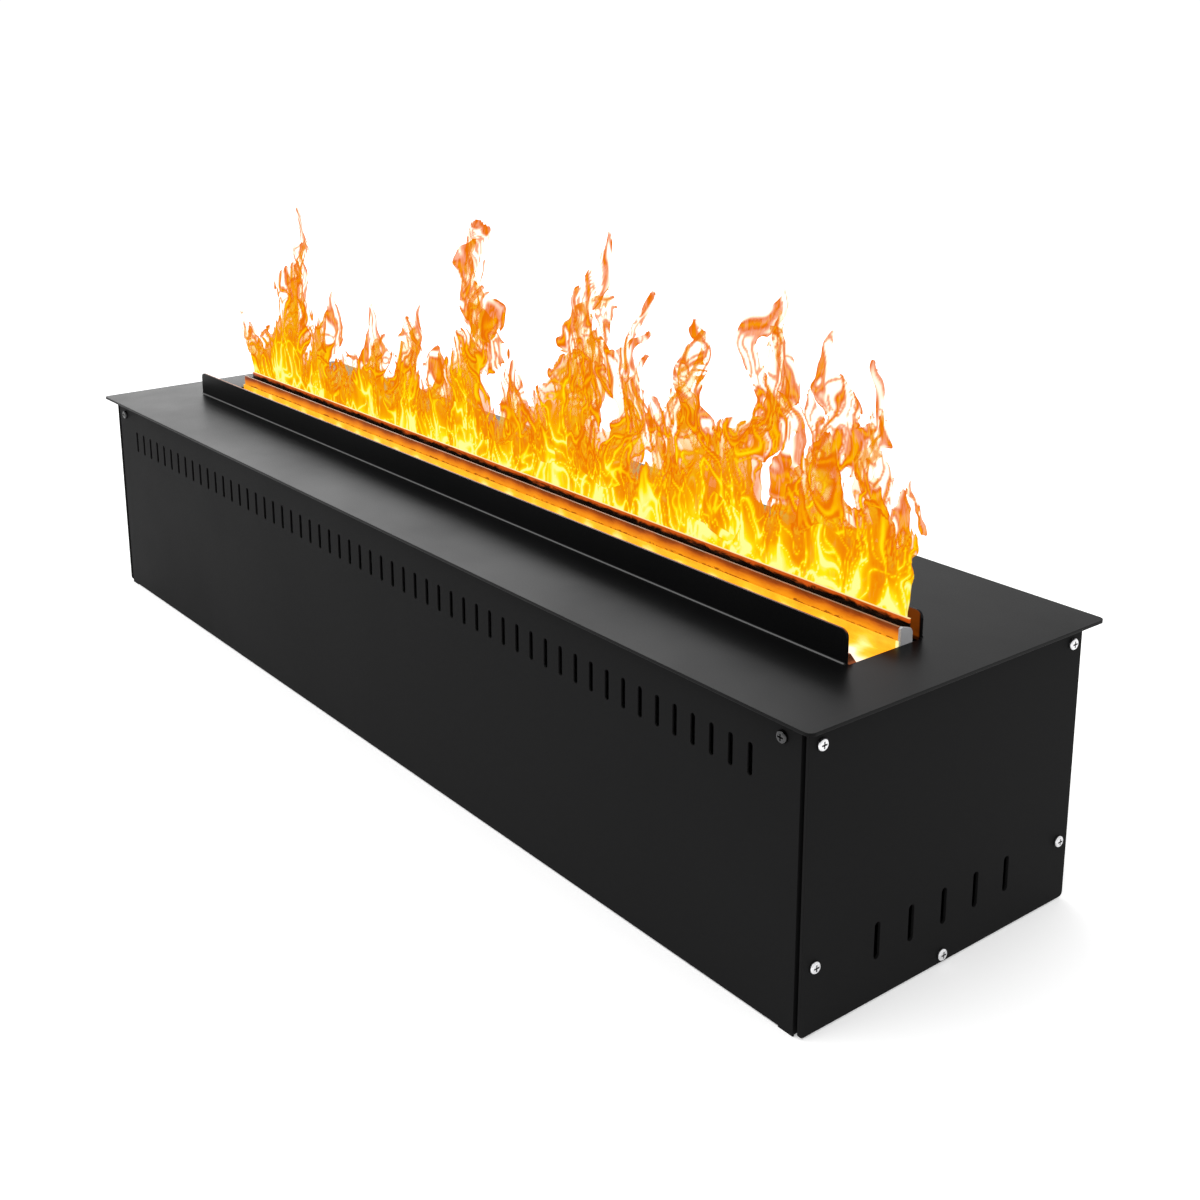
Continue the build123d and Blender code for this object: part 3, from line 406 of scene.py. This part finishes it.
def rim_coat(name):
    """Satin rim coat, with a painted highlight along the bend at the foot of the front upstand and a
    painted amber glow between the upstands.
    """
    dark, light = (0.0022, 0.0022, 0.0023), (0.0036, 0.0036, 0.0038)
    material = powder_coat(name, dark, light, 0.36, 1.16, edge=0.8 * MM)
    tree = material.node_tree
    shader = tree.nodes["Principled BSDF"]
    x, y, z = axes(tree)
    # painted highlight: a grey line along the bend at the foot of the front upstand, between the nozzle's
    # ends
    from_foot = maths(tree, "ABSOLUTE", maths(tree, "SUBTRACT", y, UPSTAND_FRONT - 0.5 * MM))
    foot = spread(tree, from_foot, 0.1 * MM, 0.7 * MM, 1.0, 0.0)
    low_down = spread(tree, z, RIM_TOP + 0.5 * MM, RIM_TOP + 1.1 * MM, 0.8, 0.0)
    from_middle = maths(tree, "ABSOLUTE", x)
    between = spread(tree, from_middle, NOZZLE_HALF - 1 * MM, NOZZLE_HALF + 0.5 * MM, 1.0, 0.0)
    bend_highlight = product(tree, foot, low_down, between)
    coat = shader.inputs["Base Color"].links[0].from_socket
    tree.links.new(mix(tree, bend_highlight, coat, BEND_HIGHLIGHT_GREY), shader.inputs["Base Color"])
    # painted glow: the mist's amber light on the plate between the upstands, as emission
    flicker = noise(tree, stretched(tree, (45, 45, 90)), 1, 3, 0.6)
    lit = product(
        tree,
        spread(tree, y, UPSTAND_FRONT, UPSTAND_INNER + 0.1 * MM, 0.0, 1.0),
        spread(tree, y, UPSTAND_REAR + 0.1 * MM, UPSTAND_REAR + 0.4 * MM, 1.0, 0.0),
        between,
        spread(tree, flicker, 0.25, 0.7, 0.5, 1.0),
        spread(tree, z, RIM_TOP - 0.5 * MM, RIM_TOP + 1 * MM, 0.15, 1.0),
        spread(tree, y, -40 * MM, 10 * MM, 1.0, 0.3),
    )
    glow = ramp(tree, lit, ((0.0, UNLIT), (0.5, (0.3, 0.06, 0.001)), (1.0, (0.9, 0.35, 0.01))))
    emit(tree, shader, glow, 0.8)
    return material


# ---------------------------------------------------------------- dressing the CAD nodes
def grey(value):
    """A grey with the faintest blue."""
    return value, value, value * 1.02


def make_materials():
    return {
        "black_powder_coat": powder_coat("black_powder_coat", grey(0.0070), grey(0.0105), 0.5, 1.08),
        "satin_rim": rim_coat("satin_rim"),
        "zinc_screw": screw_metal("zinc_screw", grey(0.55), grey(0.85), 0.2),
        "black_screw": screw_metal("black_screw", grey(0.03), grey(0.09), 0.25),
        "reflector": reflector("reflector"),
        "led_strip": bare_metal("led_strip", (0.2, 0.05, 0.02), (0.34, 0.1, 0.03), 0.4, (40, 900, 900)),
        "led_lens": moulded("led_lens", (0.9, 0.7, 0.3), (1.0, 0.8, 0.4), 0.3, glow=(1.0, 0.75, 0.3)),
        "nozzle_steel": nozzle_metal("nozzle_steel"),
        "grey_cap": moulded("grey_cap", grey(0.32), grey(0.42), 0.5),
        "galvanised": bare_metal("galvanised", grey(0.3), grey(0.55), 0.4, (90, 90, 90)),
        "tank_plastic": moulded("tank_plastic", grey(0.45), grey(0.55), 0.4),
        "hood_plastic": moulded("hood_plastic", grey(0.02), grey(0.035), 0.5),
        "gasket_rubber": moulded("gasket_rubber", grey(0.015), grey(0.03), 0.8, 400, 0.1 * MM),
        "module_steel": bare_metal("module_steel", grey(0.35), grey(0.6), 0.4, (400, 400, 400)),
        "ceramic_disc": moulded("ceramic_disc", (0.7, 0.66, 0.55), (0.82, 0.8, 0.7), 0.25),
        "float_foam": moulded("float_foam", grey(0.7), grey(0.8), 0.6, 500, 0.08 * MM),
        "stem_steel": bare_metal("stem_steel", grey(0.4), grey(0.65), 0.25, (900, 900, 60)),
        "fan_plastic": moulded("fan_plastic", grey(0.01), grey(0.02), 0.45),
        "supply_case": bare_metal("supply_case", grey(0.4), grey(0.6), 0.38, (60, 900, 900)),
        "circuit_green": circuit("circuit_green"),
        "component_black": moulded("component_black", grey(0.02), grey(0.05), 0.5),
        "nylon": moulded("nylon", (0.6, 0.58, 0.5), (0.72, 0.7, 0.62), 0.5),
        "switch_plastic": moulded("switch_plastic", grey(0.012), grey(0.02), 0.25, 500, 0.02 * MM, 0.5),
        "rocker_red": moulded(
            "rocker_red", (0.3, 0.006, 0.004), (0.42, 0.012, 0.008), 0.2, glow=(0.1, 0.001, 0),
        ),
        "button_grey": moulded("button_grey", grey(0.09), grey(0.13), 0.6, 900, 0.05 * MM),
        "brass": bare_metal("brass", (0.5, 0.33, 0.1), (0.75, 0.55, 0.22), 0.28, (60, 900, 900)),
        "valve_plastic": moulded("valve_plastic", grey(0.03), grey(0.05), 0.45),
        "clear_pipe": moulded("clear_pipe", (0.55, 0.6, 0.62), (0.68, 0.72, 0.74), 0.3),
        "lever_red": powder_coat("lever_red", (0.3, 0.012, 0.008), (0.42, 0.02, 0.014), 0.35, 1.5),
    }


def dress_nodes(materials):
    for entry in frame["record"]["subparts"]:
        if entry["material_slot"] in materials:
            part = nodes[entry["node"]]
            part.data.materials.clear()
            part.data.materials.append(materials[entry["material_slot"]])


# ---------------------------------------------------------------- flame-coloured mist
PLUME_STEP = 1.25           # mm between points of the sheets
PLUME_HIGH = 234            # mm over the nozzle
PLUME_PAST = 26             # mm past the nozzle's ends
PLUME_LIFT = 0.3            # mm between the nozzle's lip and the sheets
HALF = NOZZLE_HALF / MM
TONGUES = (
    # foot along the nozzle, height, half width, how far the tip leans and how far it sways, in mm
    (-446, 62, 14, -12, 4), (-379, 178, 42, 55, 12), (-305, 104, 34, 25, 9), (-209, 104, 36, 20, 9),
    (-147, 114, 26, 34, 8), (-92, 90, 26, 6, 6), (-41, 196, 36, 26, 18), (14, 90, 24, 8, 6),
    (68, 206, 44, 79, 12), (112, 96, 20, 16, 6), (143, 168, 26, 49, 14), (197, 104, 20, 15, 7),
    (248, 158, 30, -4, 9), (293, 192, 27, 33, 20), (336, 98, 20, 10, 6), (373, 166, 32, -4, 8),
    (400, 158, 18, 15, 12), (436, 106, 18, 14, 8),
)
SHEETS = (
    # name, seed, shortest and tallest share of a tongue, sideways shuffle, place behind the slot, in mm
    ("plume_back", 5, 0.65, 0.95, 12, 1.3),
    ("plume_middle", 77, 0.75, 1.0, 10, 0.9),
    ("plume_front", 140, 1.0, 1.0, 0, 0.5),
)


def lattice_noise(u, v, seed):
    """Gradient noise, about -1 to 1."""
    angle = np.random.default_rng(seed).uniform(0, 2 * np.pi, (256, 256))
    i, j = np.floor(u).astype(int), np.floor(v).astype(int)
    fu, fv = u - i, v - j
    su = fu**3 * (fu * (fu * 6 - 15) + 10)
    sv = fv**3 * (fv * (fv * 6 - 15) + 10)

    def corner(di, dj):
        here = angle[(i + di) % 256, (j + dj) % 256]
        return np.cos(here) * (fu - di) + np.sin(here) * (fv - dj)

    near = corner(0, 0) * (1 - su) + corner(1, 0) * su
    far = corner(0, 1) * (1 - su) + corner(1, 1) * su
    return 1.6 * (near * (1 - sv) + far * sv)


def swirl(x, z, wide, high, seed):
    """Noise whose cells are so many mm wide and high."""
    return lattice_noise(x / wide, z / high, seed)


def smooth(start, end, value):
    t = np.clip((value - start) / (end - start), 0, 1)
    return t * t * (3 - 2 * t)


def tongue_fields(x, z, tongues, seed):
    """How deep each point is in a tongue, how near a tongue's hot core, and how tall that tongue is."""
    draw = np.random.default_rng(seed)
    body = np.full(x.shape, -1.0)
    tall = np.full(x.shape, 60.0)
    core = np.zeros(x.shape)
    for foot, height, width, lean, sway in tongues:
        phase, wave = draw.uniform(0, 2 * np.pi), draw.uniform(85, 125)
        t = np.clip(z / height, 0, 1)
        spine = foot + lean * t + sway * np.sin(np.pi * t) * np.sin(2 * np.pi * z / wave + phase)
        ripple = 1 + 0.35 * t * np.sin(2 * np.pi * z / (wave * 0.6) + phase * 2)
        reach = (width * (1 - t) ** 0.72 * ripple + 1.5) * (1 + 0.5 * smooth(0.25, 0.0, t))
        depth = np.where(z < height, 1 - np.abs(x - spine) / reach, -1)
        body = np.maximum(body, depth)
        core = np.maximum(core, np.clip(depth, 0, 1) ** 0.8 * np.clip(1 - z / (0.55 * height), 0, 1))
        tall = np.where(depth > 0, np.maximum(tall, height), tall)
    return body, core, tall


def flame_outline(x, z, wx, wz, body, seed):
    """The tongues' depth joined with a low ragged crest all along the nozzle."""
    crest = 36 + 24 * swirl(x, z, 45, 200, seed + 21) + 12 * swirl(x, z, 15, 90, seed + 22)
    return np.maximum(body, np.clip((crest - wz) / 22, -1, 1) * 0.9)


def flame_fields(x, z, tongues, seed):
    """Density, whose zero line is the outline, with the heat and how well it covers what is behind."""
    # curl the coordinates, more so higher up
    grow = np.clip(z / 90, 0, 1.6)
    drift = 9 * swirl(x, z, 70, 55, seed + 11) + 5 * swirl(x, z, 26, 30, seed + 12)
    fringe = 2.2 * swirl(x, z, 9, 12, seed + 14) * np.clip(z / 30, 0, 1)
    wx = x + grow * drift + fringe
    wz = z + 8 * swirl(x, z, 40, 40, seed + 13) * np.clip(z / 40, 0, 1)
    body, core, tall = tongue_fields(wx, wz, tongues, seed)
    body = flame_outline(x, z, wx, wz, body, seed)
    t = np.clip(z / tall, 0, 1)

    # a net of upright strands, coarse and fine, with holes between them that open with height
    u = wx / 15 + 0.8 * swirl(wx, wz, 22, 60, seed + 31)
    v = wz / 42 + 0.5 * swirl(wx, wz, 30, 30, seed + 32)
    ridge = 1 - np.abs(lattice_noise(u, v, seed + 33)) * 1.7
    fine = 1 - np.abs(lattice_noise(u * 2.1 + 7, v * 1.9, seed + 34)) * 1.7
    wall = np.clip(np.maximum(ridge, 0.75 * fine), 0, 1)
    hole = 1 - smooth(0.25, 0.85, wall)
    density = body - hole * (0.08 + 0.42 * smooth(0.08, 0.5, t) - 0.16 * smooth(0.6, 0.95, t)) + 0.06

    # loose droplets beside the tongues
    fleck = (swirl(wx, wz, 4.5, 8, seed + 35) - 0.80) * smooth(-0.6, -0.3, body) * smooth(20, 60, z)
    density = np.maximum(density, 1.2 * fleck)

    # ragged ends, which drift a little to the left as they rise
    lifted = smooth(0, 45, z)
    ragged = np.abs(wx + 8 * lifted) + 9 * lifted * swirl(x, z, 14, 16, seed + 36)
    end_line = HALF - 8 + 14 * lifted
    density = density - smooth(end_line - 6, end_line + 10, ragged) * 1.2

    # hottest in the cores and at the nozzle, with hot veins along the strands
    strand = np.maximum(smooth(0.46, 0.80, ridge), 0.9 * smooth(0.58, 0.88, fine))
    vein = np.maximum(smooth(0.80, 0.98, ridge), 0.7 * smooth(0.84, 0.98, fine))
    heat = 1.25 * core**1.1 * (0.6 + 0.4 * wall) + 0.16 * strand + 0.60 * (1 - t) ** 0.4 * vein
    blaze = smooth(-0.2, 0.6, swirl(x, z, 24, 60, seed + 41))
    heat = heat + 0.06 * (1 - t) + 0.18 * np.clip(1 - z / 45, 0, 1) * blaze
    veil = np.clip(0.30 + 0.46 * (1 - smooth(0.15, 0.6, t)) * (1 - 0.4 * hole) + 0.8 * core, 0, 1)
    return density, heat, np.maximum((1.15 - 0.15 * smooth(0.25, 0.75, t)) * strand, veil)


def cut_sheet(inside):
    """Cells of a grid cut along the zero line: points as grid places, and faces round them."""
    points, faces, known = [], [], {}

    def corner(i, j):
        if (i, j) not in known:
            known[i, j] = len(points)
            points.append((i, j))
        return known[i, j]

    def crossing(a, b):
        key = (min(a, b), max(a, b))
        if key not in known:
            share = inside[key[0]] / (inside[key[0]] - inside[key[1]])
            known[key] = len(points)
            points.append(tuple(p + share * (q - p) for p, q in zip(*key)))
        return known[key]

    keep = inside > 0
    some = keep[:-1, :-1] | keep[1:, :-1] | keep[:-1, 1:] | keep[1:, 1:]
    for i, j in zip(*np.nonzero(some)):
        ring = ((i, j), (i + 1, j), (i + 1, j + 1), (i, j + 1))
        face = []
        for here, after in zip(ring, ring[1:] + ring[:1]):
            if keep[here]:
                face.append(corner(*here))
            if keep[here] != keep[after]:
                face.append(crossing(here, after))
        faces.append(face)
    return np.array(points), faces


def sample(field, points):
    """Reads a grid at places between its points."""
    i, j = points[:, 0], points[:, 1]
    i0 = np.clip(np.floor(i).astype(int), 0, field.shape[0] - 2)
    j0 = np.clip(np.floor(j).astype(int), 0, field.shape[1] - 2)
    di, dj = i - i0, j - j0
    left = field[i0, j0] * (1 - dj) + field[i0, j0 + 1] * dj
    right = field[i0 + 1, j0] * (1 - dj) + field[i0 + 1, j0 + 1] * dj
    return left * (1 - di) + right * di


def make_plume_sheet(name, seed, least, most, shuffle, across, material):
    """One thin upright sheet of mist over the nozzle's slot, swaying to and fro as it rises."""
    draw = np.random.default_rng(seed)
    tongues = [
        (foot + draw.uniform(-shuffle, shuffle), height * draw.uniform(least, most), width, lean, sway)
        for foot, height, width, lean, sway in TONGUES
    ]
    xs = np.arange(-HALF - PLUME_PAST, HALF + PLUME_PAST + PLUME_STEP, PLUME_STEP)
    zs = np.arange(0, PLUME_HIGH, PLUME_STEP)
    x, z = np.meshgrid(xs, zs, indexing="ij")
    density, heat, cover = flame_fields(x, z, tongues, seed)
    points, faces = cut_sheet(density)
    px = xs[0] + points[:, 0] * PLUME_STEP
    pz = points[:, 1] * PLUME_STEP
    swell = 9 * swirl(px, pz, 110, 80, seed + 51) + 5 * swirl(px, pz, 38, 45, seed + 52)
    py = GAP_REAR / MM + across + swell * np.clip(pz / 110, 0, 1.4)
    mesh = bpy.data.meshes.new(name)
    mesh.from_pydata(np.stack([px, py, pz + NOZZLE_TOP / MM + PLUME_LIFT], 1) * MM, [], faces)
    for label, field in (("depth", density), ("glow", heat), ("cover", cover)):
        layer = mesh.attributes.new(label, "FLOAT", "POINT")
        layer.data.foreach_set("value", sample(field, points).astype(np.float32))
    mesh.shade_smooth()
    sheet = bpy.data.objects.new(name, mesh)
    bpy.context.collection.objects.link(sheet)
    mesh.materials.append(material)
    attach(sheet, "casing")
    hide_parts("mist_flames")
    sheet.visible_glossy = False
    sheet.visible_diffuse = False
    sheet.visible_shadow = False


FLAME_STOPS = (
    (0.0, (0.88, 0.27, 0.003)), (0.05, (0.86, 0.22, 0.002)), (0.12, (0.84, 0.165, 0.001)),
    (0.22, (0.88, 0.195, 0.001)), (0.33, (0.94, 0.30, 0.001)), (0.50, (1.0, 0.50, 0.001)),
    (0.76, (1.0, 0.86, 0.006)), (1.0, (1.0, 1.0, 0.30)),
)
OUTLINE = (0.76, 0.185, 0.002)
VEIL = (0.96, 0.54, 0.01)
HEAT_TOP = 1.4              # heat at the last colour stop


def attribute(tree, name):
    made = tree.nodes.new("ShaderNodeAttribute")
    made.attribute_name = name
    return made.outputs["Fac"]


def lit_mist():
    """Golden veils between opaque orange strands, yellow at the hot cores, darker along each outline."""
    material, tree, shader = new_material("lit_mist")
    depth = attribute(tree, "depth")
    streak = noise(tree, stretched(tree, (260, 260, 70)), 1, 4, 0.6, 0.8)
    warm = maths(tree, "MULTIPLY_ADD", maths(tree, "SUBTRACT", streak, 0.5), 0.25, attribute(tree, "glow"))
    colour = ramp(tree, maths(tree, "DIVIDE", warm, HEAT_TOP), FLAME_STOPS)
    edge = spread(tree, depth, 0.0, 0.10, 1.0, 0.0)
    dark = product(tree, edge, spread(tree, streak, 0.35, 0.65, 0.1, 0.7))
    colour = mix(tree, dark, colour, OUTLINE)
    whole = attribute(tree, "cover")
    colour = mix(tree, spread(tree, whole, 0.38, 0.96, 0.0, 1.0), VEIL, colour)
    cover = product(tree, whole, spread(tree, streak, 0.3, 0.6, 0.88, 1.0))
    alpha = maths(tree, "MULTIPLY_ADD", edge, 0.3, cover)
    fade = maths(tree, "MULTIPLY", alpha, spread(tree, depth, 0.0, 0.02, 0.3, 1.0))
    fade.node.use_clamp = True
    tree.links.new(fade, shader.inputs["Alpha"])
    emit(tree, shader, colour, 1.0)
    shader.inputs["Base Color"].default_value = (*UNLIT, 1)
    shader.inputs["Specular IOR Level"].default_value = 0.0
    shader.inputs["Roughness"].default_value = 1.0
    return material


# ---------------------------------------------------------------- studio
FLOOR_REACH = 60            # m
FLOOR_DROP = 0.2 * MM       # keeps the casing's underside clear of the floor
FLOOR_GREYS = ((0.3, (0.87, 0.87, 0.87)), (0.7, (0.90, 0.90, 0.90)))
FLOOR_LIFT = 0.30           # emission that keeps the paper white
WORLD_STRENGTH = 1.05
LAYERS_SEEN = 24            # transparent surfaces that a ray may pass


def area_light(name, place_at, aim, size, power):
    data = bpy.data.lights.new(name, "AREA")
    data.shape = "RECTANGLE"
    data.size, data.size_y = size
    data.energy = power
    light = bpy.data.objects.new(name, data)
    light.location = place_at
    light.rotation_euler = (Vector(aim) - Vector(place_at)).to_track_quat("-Z", "Y").to_euler()
    light.visible_camera = False
    bpy.context.collection.objects.link(light)


def make_floor():
    mesh = bpy.data.meshes.new("floor")
    far = FLOOR_REACH
    corners = [(-far, -far, 0), (far, -far, 0), (far, far, 0), (-far, far, 0)]
    mesh.from_pydata(corners, [], [(0, 1, 2, 3)])
    floor = bpy.data.objects.new("floor", mesh)
    floor.location.z = -FLOOR_DROP
    material, tree, shader = new_material("floor_paper")
    grain = noise(tree, place(tree), 400, 2)
    tree.links.new(ramp(tree, grain, FLOOR_GREYS), shader.inputs["Base Color"])
    shader.inputs["Roughness"].default_value = 0.9
    shader.inputs["Specular IOR Level"].default_value = 0.0
    shader.inputs["Emission Color"].default_value = (1, 1, 1, 1)
    shader.inputs["Emission Strength"].default_value = FLOOR_LIFT
    mesh.materials.append(material)
    bpy.context.collection.objects.link(floor)


def make_studio():
    make_floor()
    world = bpy.data.worlds.new("studio")
    world.use_nodes = True
    background = world.node_tree.nodes["Background"]
    background.inputs["Color"].default_value = (1, 1, 1, 1)
    background.inputs["Strength"].default_value = WORLD_STRENGTH
    scene = bpy.context.scene
    scene.world = world
    area_light("key", (-0.6, -1.6, 2.4), (0, 0, 0), (2.2, 1.6), 28)
    area_light("back_left", (-2.6, 1.3, 1.15), (0, 0, 0.2), (2.6, 1.5), 28)
    scene.view_settings.view_transform = "Standard"
    scene.cycles.transparent_max_bounces = LAYERS_SEEN


def make_plume():
    material = lit_mist()
    for name, seed, least, most, shuffle, across in SHEETS:
        make_plume_sheet(name, seed, least, most, shuffle, across, material)


make_camera()
make_studio()
dress_nodes(make_materials())
make_plume()
